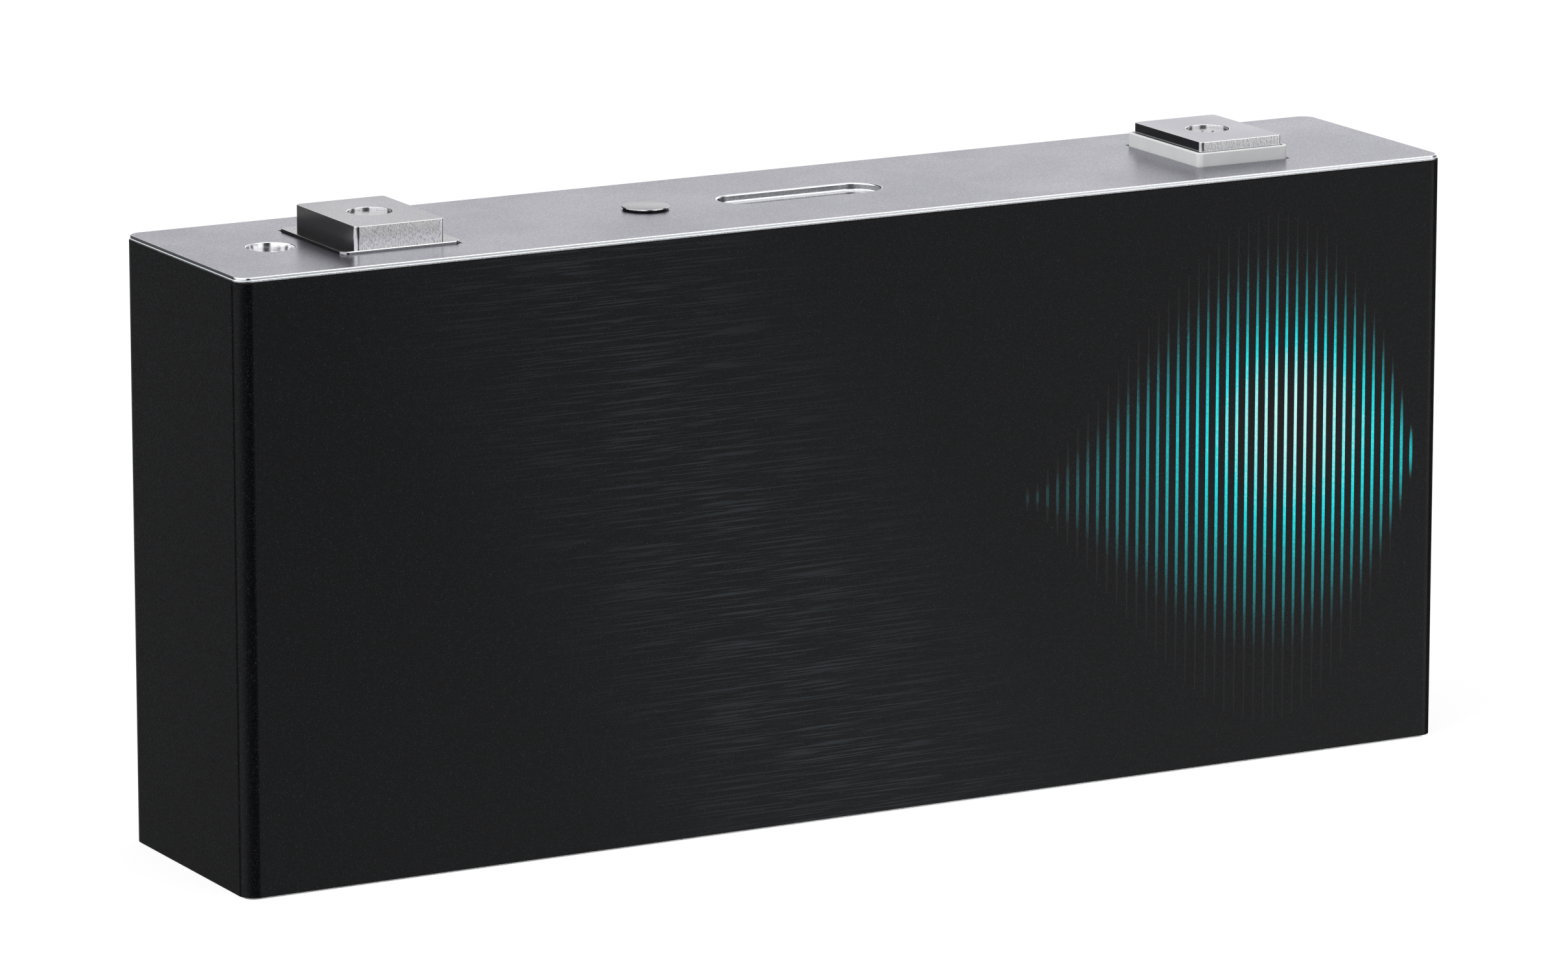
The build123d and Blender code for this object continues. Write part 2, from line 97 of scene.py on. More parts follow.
class NodeBoard:
    """A node tree, with short calls for what the finishes, the floor and the sky share."""

    MIX_FACTOR, MIX_A, MIX_B, MIX_RESULT = 0, 6, 7, 2

    def __init__(self, tree: bpy.types.NodeTree) -> None:
        """Keeps the nodes and links of a tree."""
        self.nodes, self.links = tree.nodes, tree.links

    def feed(self, slot: Socket, value: Value) -> None:
        """Feeds an input.

        Args:
            slot: The input.
            value: Socket that is linked to it, or number or list of numbers that it is set to.
        """
        if isinstance(value, bpy.types.NodeSocket):
            self.links.new(value, slot)
        else:
            slot.default_value = value

    def add(self, kind: str, output: Union[str, int], inputs: dict, **settings: str) -> Socket:
        """Adds a node.

        Args:
            kind: Type of the node, without the prefix ShaderNode.
            output: Name or index of the wanted output.
            inputs: What each input is fed with, by its name or index.
            **settings: Properties of the node.

        Returns:
            The wanted output.
        """
        node = self.nodes.new("ShaderNode" + kind)
        for name, setting in settings.items():
            setattr(node, name, setting)
        for name, value in inputs.items():
            self.feed(node.inputs[name], value)
        return node.outputs[output]

    def calc(self, operation: str, *values: Value) -> Socket:
        """Result of a math operation on sockets or numbers."""
        return self.add("Math", "Value", dict(enumerate(values)), operation=operation)

    def axis(self, vector: Socket, name: str) -> Socket:
        """One part of a vector, X, Y or Z."""
        return self.add("SeparateXYZ", name, {"Vector": vector})

    def remap(self, value: Socket, low: float, high: float, to_low: float, to_high: float) -> Socket:
        """Maps the range from low to high smoothly to the range from to_low to to_high."""
        ends = {"From Min": low, "From Max": high, "To Min": to_low, "To Max": to_high}
        return self.add("MapRange", "Result", {"Value": value, **ends}, interpolation_type="SMOOTHSTEP")

    def blend(self, share: Socket, low: Value, high: Value) -> Socket:
        """Number between two others, the low one at a share of 0 and the high one at 1."""
        return self.add("MapRange", "Result", {"Value": share, "To Min": low, "To Max": high})

    def mix(self, share: Socket, low: Value, high: Value) -> Socket:
        """Colour between two others, the low one at a share of 0 and the high one at 1."""
        colours = {self.MIX_FACTOR: share, self.MIX_A: low, self.MIX_B: high}
        return self.add("Mix", self.MIX_RESULT, colours, data_type="RGBA")

    def ramp(self, factor: Socket, stops: Sequence[tuple[float, Colour]]) -> Socket:
        """Colour ramp.

        Args:
            factor: Value that picks the colour.
            stops: Positions with their colours, from low to high.

        Returns:
            The colour.
        """
        colour = self.add("ValToRGB", "Color", {"Fac": factor})
        elements = colour.node.color_ramp.elements
        for _ in range(len(stops) - len(elements)):
            elements.new(0.5)
        for element, (position, tone) in zip(elements, stops):
            element.position = position
            element.color = opaque(tone)
        return colour


class Sheet(NodeBoard):
    """The node tree of one material, with patterns in the object's own coordinates.

    MIDDLE and WIDE are the spans of a noise's values over which a number is moved.
    """

    MIDDLE: Span = (0.3, 0.7)
    WIDE: Span = (0.2, 0.8)

    def __init__(self, name: str) -> None:
        """Makes the material and finds its shader.

        Args:
            name: Name of the material.
        """
        self.material = bpy.data.materials.new(name)
        self.material.use_nodes = True
        super().__init__(self.material.node_tree)
        self.shader = self.nodes["Principled BSDF"]
        self.place = self.add("TexCoord", "Object", {})

    def set(self, **values: Value) -> None:
        """Feeds the shader's inputs, named with underscores for spaces."""
        for key, value in values.items():
            self.feed(self.shader.inputs[key.replace("_", " ")], value)

    def leaned(self, turn: Sequence[float]) -> Socket:
        """Object coordinates turned about the three axes, by angles in radians."""
        return self.add("Mapping", "Vector", {"Vector": self.place, "Rotation": turn})

    def stretched(self, size: Sequence[float], place: Optional[Socket] = None) -> Socket:
        """Coordinates, the object's own if none are given, in units of a pattern's size."""
        scale = [1 / length for length in size]
        return self.add("Mapping", "Vector", {"Vector": place or self.place, "Scale": scale})

    def noise(
        self, size: Sequence[float], detail: float = 2.0, rough: float = 0.5,
        place: Optional[Socket] = None,
    ) -> Socket:
        """Noise from 0 to 1.

        Args:
            size: Length of one patch of the noise along X, Y and Z.
            detail: Octaves of the noise.
            rough: Share of each finer octave.
            place: Coordinates of the noise, the object's own if left out.

        Returns:
            The noise's value.
        """
        octaves = {"Scale": 1.0, "Detail": detail, "Roughness": rough}
        return self.add("TexNoise", "Fac", {"Vector": self.stretched(size, place), **octaves})

    def tones(self, pattern: Socket, colour: Colour, contrast: float, reach: float = 0.14) -> Socket:
        """A colour that a pattern makes darker and lighter.

        Args:
            pattern: The pattern, from 0 to 1.
            colour: The colour at its middle.
            contrast: How much darker and lighter the colour gets.
            reach: How far from the middle it gets there.

        Returns:
            The colour.
        """
        dark, light = shade(colour, 1 - contrast), shade(colour, 1 + contrast)
        return self.ramp(pattern, [(0.5 - reach, dark), (0.5, colour), (0.5 + reach, light)])

    def around(self, pattern: Socket, middle: float, share: float) -> Socket:
        """Number that a pattern moves about a middle, down and up by a share of it."""
        return self.remap(pattern, *self.MIDDLE, middle * (1 - share), middle * (1 + share))

    def ragged(self, value: Socket, pattern: Socket, reach: float) -> Socket:
        """Number that a pattern moves down and up by a reach."""
        return self.calc("ADD", value, self.remap(pattern, *self.WIDE, -reach, reach))

    def away_from(self, centre: Sequence[float], size: Sequence[float]) -> Socket:
        """Distance from a point, 1 at the edge of an ellipsoid with half lengths of a size."""
        middle = [c / s for c, s in zip(centre, size)]
        return self.add("VectorMath", "Value", {0: self.stretched(size), 1: middle}, operation="DISTANCE")

    def bump(self, height: Socket, depth: float, under: Optional[Socket] = None) -> Socket:
        """Normal bumped by a height from 0 to 1 of a real depth, on another normal if given."""
        lower = {"Normal": under} if under else {}
        return self.add("Bump", "Normal", {"Height": height, "Distance": depth, **lower})


@dataclass(frozen=True)
class Finish:
    """What every finish has: the material's name, its main colour and its roughness."""

    name: str
    colour: Colour
    roughness: float

    def make(self) -> Material:
        """Builds the material.

        Returns:
            The finished material.
        """
        sheet = Sheet(self.name)
        self.lay(sheet)
        return sheet.material

    def lay(self, sheet: Sheet) -> None:
        """Lays the finish on a material's node tree."""
        raise NotImplementedError


@dataclass(frozen=True)
class BlastedMetal(Finish):
    """Satin metal with fine round grain, as on blasted or tumbled aluminium."""

    grain: float = 0.00026
    grain_depth: float = 0.000004
    cloud: float = 0.018
    cloudiness: float = 0.08
    mottle: float = 0.15

    def lay(self, sheet: Sheet) -> None:
        """Lays the grain over clouds of slightly other roughness.

        Args:
            sheet: Node tree of the material.
        """
        grain = sheet.noise([self.grain] * 3, detail=3.0, rough=0.6)
        cloud = sheet.noise([self.cloud] * 3, detail=3.0)
        sheet.set(
            Base_Color=sheet.tones(grain, self.colour, 2 * self.mottle, reach=0.12),
            Roughness=sheet.around(cloud, self.roughness, self.cloudiness),
            Normal=sheet.bump(grain, self.grain_depth),
            Metallic=1.0,
        )


@dataclass(frozen=True)
class MachinedMetal(Finish):
    """Metal with fine cutter lines that lean over a little on the upright faces."""

    line: float = 0.0001
    line_length: float = 0.003
    lean: float = 0.3
    depth: float = 0.000006
    contrast: float = 0.25
    dulling: float = 1.2

    def lay(self, sheet: Sheet) -> None:
        """Lays the cutter lines.

        Args:
            sheet: Node tree of the material.
        """
        leaning = sheet.leaned((self.lean, self.lean, 0))
        lines = sheet.noise((self.line, self.line, self.line_length), detail=1.0, place=leaning)
        sheet.set(
            Base_Color=sheet.tones(lines, self.colour, self.contrast),
            Roughness=sheet.remap(
                lines, *sheet.MIDDLE, self.roughness * self.dulling, self.roughness
            ),
            Normal=sheet.bump(lines, self.depth),
            Metallic=1.0,
        )


@dataclass(frozen=True)
class RoughCutMetal(Finish):
    """Bright torn metal of a sheared or coined edge, with large facets and fine grit."""

    facet: float = 0.0009
    facet_depth: float = 0.00005
    stretch: float = 3.0
    lean: float = 0.3
    grit: float = 0.00018
    grit_depth: float = 0.00001
    contrast: float = 0.2
    metallic: float = 1.0

    def lay(self, sheet: Sheet) -> None:
        """Lays the grit over the facets.

        Args:
            sheet: Node tree of the material.
        """
        leaning = sheet.leaned((self.lean, self.lean, 0))
        tall = sheet.stretched((self.facet, self.facet, self.facet * self.stretch), leaning)
        facets = sheet.add("TexVoronoi", "Distance", {"Vector": tall, "Scale": 1.0})
        grit = sheet.noise((self.grit, self.grit, self.grit * self.stretch), detail=3.0, place=leaning)
        faceted = sheet.bump(facets, self.facet_depth)
        sheet.set(
            Base_Color=sheet.tones(grit, self.colour, self.contrast),
            Roughness=self.roughness,
            Normal=sheet.bump(grit, self.grit_depth, faceted),
            Metallic=self.metallic,
        )


@dataclass(frozen=True)
class BlackFilm(Finish):
    """Satin black film with fine grain and pale specks painted as glints, and a slanting band of painted
    sheen where brushed streaks show on its front.
    """

    top: float
    streak_sheen_colour: Colour = (0.024, 0.03, 0.035)
    streak_top: Span = (-0.047, 0.092)
    streak_bottom: Span = (-0.004, 0.010)
    streak_half_width: float = 0.056
    streak: Sequence[float] = (0.016, 0.02, 0.0003)
    rag: float = 0.014
    haze: float = 0.06
    fade_at_top: float = 0.6
    grain: float = 0.00016
    grain_depth: float = 0.00001
    specular: float = 0.21
    dull_rim: Span = (0.0003, 0.00012)
    speckle: float = 0.32
    glint_speck_colour: Colour = (0.04, 0.047, 0.062)
    tint: Colour = (0.96, 0.97, 1.0)

    def lay(self, sheet: Sheet) -> None:
        """Lays the grain with its pale specks painted as glints, the streaks in their band of painted
        sheen, and a dull strip along the top edge.

        Args:
            sheet: Node tree of the material.
        """
        grain = sheet.noise([self.grain] * 3, detail=3.0, rough=0.65)
        streaks = sheet.noise(self.streak, detail=3.0, rough=0.6)
        # Painted sheen: the brushed streaks show only in a slanting band, stronger towards its bottom.
        sheen_streaked = self.streak_sheen_band(sheet, streaks)
        line = sheet.calc("MULTIPLY", sheen_streaked, sheet.remap(streaks, 0.5, 0.64, self.haze, 1.0))
        # The pale specks at the top of the ramp are painted glints of the grain.
        base = sheet.ramp(grain, [
            (0.36, shade(self.colour, 0.1)), (0.5, self.colour), (0.6, shade(self.colour, 3.0)),
            (0.72, self.glint_speck_colour),
        ])
        rougher, smoother = (self.roughness * (1 + part) for part in (self.speckle, -self.speckle))
        satin = sheet.remap(grain, 0.35, 0.65, rougher, smoother)
        below, above = (self.top - part for part in self.dull_rim)
        dull = sheet.remap(sheet.axis(sheet.place, "Z"), below, above, 0.0, 1.0)
        brushed = sheet.calc("MULTIPLY", streaks, sheen_streaked)
        sheet.set(
            Base_Color=sheet.mix(line, base, opaque(self.streak_sheen_colour)),
            Roughness=sheet.calc("MAXIMUM", satin, dull),
            Normal=sheet.bump(brushed, self.grain_depth, sheet.bump(grain, self.grain_depth)),
            Specular_IOR_Level=self.specular,
            Specular_Tint=opaque(self.tint),
        )

    def streak_sheen_band(self, sheet: Sheet, streaks: Socket) -> Socket:
        """Strength of the streaks: a slanting band of painted sheen on the front, ragged at its sides.

        Args:
            sheet: Node tree of the film.
            streaks: The streaks' noise, which roughens the band's sides.

        Returns:
            The strength from 0 to 1.
        """
        across, out, height = (sheet.axis(sheet.place, name) for name in "XYZ")
        (top_x, top_z), (low_x, low_z) = self.streak_top, self.streak_bottom
        slope = (low_x - top_x) / (low_z - top_z)
        middle = sheet.calc("MULTIPLY_ADD", height, slope, top_x - slope * top_z)
        offset = sheet.calc("ABSOLUTE", sheet.calc("SUBTRACT", across, middle))
        ragged = sheet.ragged(offset, streaks, self.rag)
        band = sheet.remap(ragged, 0.0, self.streak_half_width, 1.0, 0.0)
        fall = sheet.remap(height, low_z, top_z, 1.0, self.fade_at_top)
        return sheet.calc("MULTIPLY", sheet.calc("MULTIPLY", band, fall), sheet.calc("LESS_THAN", out, 0.0))


@dataclass(frozen=True)
class GlowInk(Finish):
    """Printed ink that runs from a pale glow through cyan and teal to the film's own colour."""

    deep: Colour
    teal: Colour
    cyan: Colour
    pale: Colour
    glow: Sequence[float]
    reach: Sequence[float]
    stops: Sequence[float] = (0.08, 0.3, 0.52, 0.8, 1.0)
    grain: float = 0.0004
    grain_depth: float = 0.000004
    rag: float = 0.07
    fading: float = 0.75
    fading_power: float = 2.5
    specular: float = 0.3
    tip_attribute: str = "tip"

    def lay(self, sheet: Sheet) -> None:
        """Lays the colours by the distance from the glow and by how near a stroke's tip is.

        Args:
            sheet: Node tree of the material.
        """
        tip = sheet.add("Attribute", "Fac", {}, attribute_name=self.tip_attribute)
        grain = sheet.noise([self.grain] * 3, detail=2.0, rough=0.6)
        distance = sheet.away_from(self.glow, self.reach)
        ragged = sheet.ragged(distance, grain, self.rag)
        faded = sheet.calc("MULTIPLY", sheet.calc("POWER", tip, self.fading_power), self.fading)
        colours = (self.pale, self.cyan, self.teal, self.deep, self.colour)
        sheet.set(
            Base_Color=sheet.ramp(sheet.calc("ADD", ragged, faded), list(zip(self.stops, colours))),
            Roughness=self.roughness,
            Normal=sheet.bump(grain, self.grain_depth),
            Specular_IOR_Level=self.specular,
        )


@dataclass(frozen=True)
class MouldedPlastic(Finish):
    """Moulded plastic or rubber with a faint texture and slight changes of tone."""

    grain: float = 0.0003
    grain_depth: float = 0.000004
    cloud: float = 0.006
    variation: float = 0.1
    specular: float = 0.4

    def lay(self, sheet: Sheet) -> None:
        """Lays the texture over clouds of slightly other tone.

        Args:
            sheet: Node tree of the material.
        """
        grain = sheet.noise([self.grain] * 3, detail=3.0)
        cloud = sheet.noise([self.cloud] * 3, detail=3.0)
        dark, light = shade(self.colour, 0.96), shade(self.colour, 1.03)
        sheet.set(
            Base_Color=sheet.ramp(cloud, [(0.3, dark), (0.7, light)]),
            Roughness=sheet.around(grain, self.roughness, self.variation),
            Normal=sheet.bump(grain, self.grain_depth),
            Specular_IOR_Level=self.specular,
        )


@dataclass(frozen=True)
class WoundFoil(Finish):
    """Wound or rolled foil: fine lines that follow its layers, on a dull metallic ground."""

    metallic: float = 1.0
    layer: float = 0.0003
    layer_length: float = 0.02
    depth: float = 0.00001

    def lay(self, sheet: Sheet) -> None:
        """Lays the lines of the layers.

        Args:
            sheet: Node tree of the material.
        """
        layers = sheet.noise([self.layer_length, self.layer, self.layer_length])
        dark, light = shade(self.colour, 0.7), shade(self.colour, 1.2)
        sheet.set(
            Base_Color=sheet.ramp(layers, [(0.35, dark), (0.65, light)]),
            Roughness=self.roughness,
            Normal=sheet.bump(layers, self.depth),
            Metallic=self.metallic,
        )


class Palette:
    """The finishes of the cell, each made once."""

    FILM_BLACK: Colour = (0.0012, 0.0012, 0.0013)
    POLISHED = 0.000002
    ROLLED = 0.000003

    def __init__(self) -> None:
        """Makes every finish."""
        polished, rolled = {"grain_depth": self.POLISHED}, {"grain_depth": self.ROLLED}
        self.cap = BlastedMetal("cap_satin", (0.296, 0.293, 0.345), 0.3).make()
        self.cap_edge = BlastedMetal(
            "cap_edge_bright", (0.92, 0.93, 0.95), 0.22, mottle=0.02, **polished
        ).make()
        # Painted shade: the cap's end faces take a darker copy of its bright edge metal.
        self.cap_end_shade = BlastedMetal("cap_end_painted_shade", (0.4, 0.4, 0.43), 0.22, mottle=0.03, **polished).make()
        # Painted shade: the vent slot's wall is a darker copy of the cap's metal.
        self.slot_wall_shade = BlastedMetal("slot_wall_painted_shade", (0.4, 0.4, 0.42), 0.26, mottle=0.1, **rolled).make()
        self.port_wall = BlastedMetal(
            "port_polished", (0.8, 0.8, 0.82), 0.15, mottle=0.04, **polished
        ).make()
        self.can = BlastedMetal("can_drawn", (0.6, 0.6, 0.61), 0.34).make()
        # Partly painted highlight: the bead's near-white bluish colour, mostly non-metallic, stands in for
        # the bright line its rounded top reflects.
        self.weld = RoughCutMetal(
            "weld_bead", (0.84, 0.91, 1.0), 0.3, facet=0.0005, facet_depth=0.00001, contrast=0.1,
            metallic=0.3,
        ).make()
        self.block_top = BlastedMetal("block_satin", (0.414, 0.408, 0.442), 0.32, mottle=0.08).make()
        self.block_side = MachinedMetal(
            "block_machined", (0.88, 0.88, 0.89), 0.26, line=0.00015, line_length=0.008, contrast=0.34
        ).make()
        # Painted shade: the block's end faces take a darker copy of its machined sides.
        self.block_end_shade = MachinedMetal(
            "block_end_painted_shade", (0.48, 0.48, 0.49), 0.22, contrast=0.15, depth=0.000002
        ).make()
        self.ring = RoughCutMetal(
            "ring_cut", (0.8, 0.8, 0.82), 0.11, facet=0.0008, facet_depth=0.00002,
            grit_depth=0.000002, contrast=0.15,
        ).make()
        self.base_plate = BlastedMetal("base_plate_satin", (0.24, 0.24, 0.255), 0.17, **rolled).make()
        self.bright_edge = BlastedMetal(
            "bright_edge", (0.97, 0.97, 0.98), 0.2, grain=0.0004, mottle=0.06, **rolled
        ).make()
        self.plate_top = BlastedMetal("plate_satin", (0.43, 0.426, 0.474), 0.3, mottle=0.06).make()
        self.plate_side = RoughCutMetal(
            "plate_sheared", (0.76, 0.76, 0.78), 0.22, facet=0.0003, facet_depth=0.000012,
            contrast=0.16,
        ).make()
        # Painted shade: the plates' end faces and end bevels take a darker copy of their metal.
        self.plate_end_shade = BlastedMetal(
            "plate_end_painted_shade", (0.32, 0.32, 0.34), 0.12, mottle=0.03, grain_depth=self.POLISHED / 2
        ).make()
        self.disc_side = RoughCutMetal(
            "disc_sheared", (0.8, 0.8, 0.82), 0.2, facet=0.0007, contrast=0.5
        ).make()
        # Painted shade: the disc's undercut foot is near-black where shade falls under it.
        self.disc_foot_shade = BlastedMetal("disc_foot_painted_shade", (0.012, 0.012, 0.013), 0.5).make()
        self.disc_top = BlastedMetal("disc_satin", (0.405, 0.405, 0.432), 0.32, mottle=0.08).make()
        self.membrane = BlastedMetal("membrane_foil", (0.42, 0.42, 0.43), 0.13, mottle=0.05).make()
        self.pole = BlastedMetal("pole_turned", (0.46, 0.46, 0.475), 0.25, mottle=0.05).make()
        self.frame_plastic = MouldedPlastic("frame_plastic", (0.64, 0.645, 0.64), 0.48).make()
        film_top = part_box("wrap_film")[1][2]
        self.film = BlackFilm("film_black", self.FILM_BLACK, 0.22, film_top).make()
        self.ink = GlowInk(
            "ink_glow", self.FILM_BLACK, 0.42,
            deep=(0.004, 0.05, 0.056), teal=(0.0, 0.28, 0.3), cyan=(0.0, 0.72, 0.76),
            pale=(0.5, 0.92, 0.88), glow=(0.082, -0.021, 0.06), reach=(0.056, 1.0, 0.062),
        ).make()
        self.insulator = MouldedPlastic("insulator_natural", (0.62, 0.6, 0.55), 0.5).make()
        self.rubber = MouldedPlastic("seal_black", (0.02, 0.02, 0.02), 0.6).make()
        self.bag = MouldedPlastic("bag_film", (0.66, 0.66, 0.63), 0.4).make()
        self.sheet_aluminium = WoundFoil("collector_sheet", (0.6, 0.6, 0.61), 0.35).make()
        self.sheet_copper = WoundFoil("copper_sheet", (0.7, 0.32, 0.18), 0.35).make()
        self.electrode = WoundFoil("electrode_foil", (0.07, 0.07, 0.08), 0.5, metallic=0.4).make()


def arc(centre: Span, radius: float, start: float, end: float, steps: int) -> list:
    """Points of an arc in the plane of a turned profile.

    Args:
        centre: Middle of the arc, as distance from the axis and height.
        radius: Its radius.
        start: First angle in degrees, 0 outwards and 90 up.
        end: Last angle in degrees.
        steps: Number of runs between the points.

    Returns:
        The points, both ends among them.
    """
    angles = [math.radians(start + (end - start) * i / steps) for i in range(steps + 1)]
    return [(centre[0] + radius * math.cos(a), centre[1] + radius * math.sin(a)) for a in angles]


def every(face: Face) -> bool:
    """Chooses every face."""
    return True


def upright(steepness: float = 0.3) -> Chooser:
    """Chooses the faces whose normals have at most this upward part."""
    return lambda face: abs(face.normal.z) < steepness


def endwise(share: float = 0.9) -> Chooser:
    """Chooses the faces that look along X, at least by a share."""
    return lambda face: abs(face.normal.x) > share


def between(low: float, high: float) -> Chooser:
    """Chooses the faces whose middle lies between two heights."""
    return lambda face: low < face.calc_center_median().z < high


class Form:
    """A solid in the making: a bmesh with the steps that shape this cell's pieces."""

    ROUND_STEPS = 96
    SEAM = 1e-7
    END_STEEPNESS = 0.5

    def __init__(self) -> None:
        """Starts an empty solid."""
        self.bm = bmesh.new()

    @classmethod
    def box(cls, low: Sequence[float], high: Sequence[float]) -> "Form":
        """Box between two corners.

        Args:
            low: Its lowest corner.
            high: Its highest corner.

        Returns:
            The new solid.
        """
        form = cls()
        bmesh.ops.create_cube(form.bm, size=1.0)
        bmesh.ops.scale(form.bm, vec=Vector(high) - Vector(low), verts=form.bm.verts)
        bmesh.ops.translate(form.bm, vec=(Vector(high) + Vector(low)) / 2, verts=form.bm.verts)
        return form

    @classmethod
    def sleeve(
        cls, low: Sequence[float], high: Sequence[float], corner: float, steps: int, wall: float
    ) -> "Form":
        """Upright sleeve with rounded corners, open at its top and bottom.

        Args:
            low: Lowest corner of its box.
            high: Highest corner of its box.
            corner: Radius of its corners.
            steps: Strips of each corner.
            wall: Its thickness, inwards.

        Returns:
            The new solid.
        """
        form = cls.box(low, high)
        form.bevel(form.upright_edges(), corner, steps)
        ends = [face for face in form.bm.faces if abs(face.normal.z) > cls.END_STEEPNESS]
        bmesh.ops.delete(form.bm, geom=ends, context="FACES")
        bmesh.ops.recalc_face_normals(form.bm, faces=form.bm.faces)
        bmesh.ops.solidify(form.bm, geom=form.bm.faces, thickness=wall)
        return form

    @classmethod
    def turned(cls, profile: Iterable[Span], x: float) -> "Form":
        """Solid turned round an upright axis in the cell's middle plane.

        Args:
            profile: Points as distance from the axis and height, both ends on the axis.
            x: Place of the axis.

        Returns:
            The new solid.
        """
        form = cls()
        axis = Vector((x, 0, 0))
        first = Matrix.Rotation(math.pi / cls.ROUND_STEPS, 3, "Z") @ Vector((1, 0, 0))
        verts = [form.bm.verts.new(axis + first * r + Vector((0, 0, z))) for r, z in profile]
        edges = [form.bm.edges.new(pair) for pair in zip(verts, verts[1:])]
        bmesh.ops.spin(
            form.bm, geom=verts + edges, cent=axis, axis=(0, 0, 1), dvec=(0, 0, 0),
            angle=math.tau, steps=cls.ROUND_STEPS, use_merge=True, use_duplicate=False,
        )
        bmesh.ops.remove_doubles(form.bm, verts=form.bm.verts, dist=cls.SEAM)
        return form

    @classmethod
    def rod(cls, radius: float, low: float, high: float, x: float) -> "Form":
        """Plain round rod about an upright axis at x, between two heights."""
        return cls.turned([(0, low), (radius, low), (radius, high), (0, high)], x)

    def stretch(self, centre_x: float, length: float) -> "Form":
        """Parts a turned solid at its middle into a slot shape.

        Args:
            centre_x: X of the turned axis.
            length: How far its two halves move apart along X.

        Returns:
            The same solid.
        """
        for vert in self.bm.verts:
            vert.co.x += math.copysign(length / 2, vert.co.x - centre_x)
        return self

    def upright_edges(self) -> list:
        """Edges that run along Z."""
        ends = [(edge, *edge.verts) for edge in self.bm.edges]
        return [edge for edge, a, b in ends if (a.co.xy - b.co.xy).length < self.SEAM]

    def edges_at(self, height: float) -> list:
        """Edges that lie at one height."""
        reach = self.SEAM * 10
        return [e for e in self.bm.edges if all(abs(v.co.z - height) < reach for v in e.verts)]

    def bevel(self, edges: list, offset: float, segments: int, group: Optional[Skin] = None) -> "Form":
        """Rounds or chamfers edges.

        Args:
            edges: The edges.
            offset: Width of the bevel along each face.
            segments: Number of its strips, 1 for a chamfer.
            group: Face group of the new strips.

        Returns:
            The same solid.
        """
        made = bmesh.ops.bevel(
            self.bm, geom=edges, offset=offset, offset_type="OFFSET", segments=segments,
            profile=0.5, affect="EDGES", material=-1, clamp_overlap=True,
        )
        if group is not None:
            for face in made["faces"]:
                face.material_index = group.value
        return self

    def paint(self, group: Skin, chosen: Chooser = every) -> "Form":
        """Puts faces in one face group.

        Args:
            group: The face group.
            chosen: Says of each face whether it is meant.

        Returns:
            The same solid.
        """
        self.bm.normal_update()
        for face in filter(chosen, self.bm.faces):
            face.material_index = group.value
        return self

    def mesh(self, name: str) -> bpy.types.Mesh:
        """Turns the solid into a mesh with its faces pointing outwards.

        Args:
            name: Name of the mesh.

        Returns:
            The mesh.
        """
        bmesh.ops.recalc_face_normals(self.bm, faces=self.bm.faces)
        mesh = bpy.data.meshes.new(name)
        self.bm.to_mesh(mesh)
        self.bm.free()
        return mesh


class Piece:
    """A finished piece of the visual model."""

    SMOOTH_BELOW = math.radians(38)

    def __init__(self, name: str, form: Form, skins: Sequence[Material]) -> None:
        """Makes the object from a solid.

        Args:
            name: Name of the piece.
            form: Its solid.
            skins: Materials in the order of the face groups.
        """
        self.name = name
        self.skins = skins
        self.object = self.placed(form)

    def placed(self, form: Form, name: str = "") -> bpy.types.Object:
        """Links a solid to the scene with this piece's materials.

        Args:
            form: The solid.
            name: Name of the object, this piece's own if empty.

        Returns:
            The new object.
        """
        mesh = form.mesh(name or self.name)
        for skin in self.skins:
            mesh.materials.append(skin)
        made = bpy.data.objects.new(name or self.name, mesh)
        bpy.context.collection.objects.link(made)
        return made

    def combine(self, how: Boolean, *forms: Form) -> "Piece":
        """Cuts solids out of the piece or joins them to it.

        Args:
            how: Whether the solids are cut out or joined.
            *forms: The solids, which take one step each.

        Returns:
            The same piece.
        """
        for form in forms:
            tool = self.placed(form, "tool")
            modifier = self.object.modifiers.new("combine", "BOOLEAN")
            modifier.operation = how.value
            modifier.solver = "EXACT"
            modifier.object = tool
            graph = bpy.context.evaluated_depsgraph_get()
            mesh = bpy.data.meshes.new_from_object(self.object.evaluated_get(graph))
            self.object.modifiers.clear()
            old, self.object.data = self.object.data, mesh
            mesh.name = self.name
            bpy.data.meshes.remove(old)
            bpy.data.objects.remove(tool)
        return self

    def hand_over(self, slot: str, *nodes: str) -> "Piece":
        """Smooths the piece, hangs it on its body and hides the nodes that it replaces.

        Args:
            slot: Not used.
            *nodes: Nodes that the piece replaces.

        Returns:
            The same piece.
        """
        mesh = self.object.data
        mesh.shade_smooth()
        mesh.set_sharp_from_angle(angle=self.SMOOTH_BELOW)
        weighted = self.object.modifiers.new("weighted", "WEIGHTED_NORMAL")
        weighted.keep_sharp = True
        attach(self.object, BODY)
        if nodes:
            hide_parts(*nodes)
        log.info("%s: %d faces", self.name, len(mesh.polygons))
        return self


def corners(node: str) -> Iterable[Vector]:
    """The lowest and the highest corner of a node."""
    return map(Vector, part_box(node))


def level(length: float) -> Vector:
    """A length along both X and Y, with no height."""
    return Vector((length, length, 0))


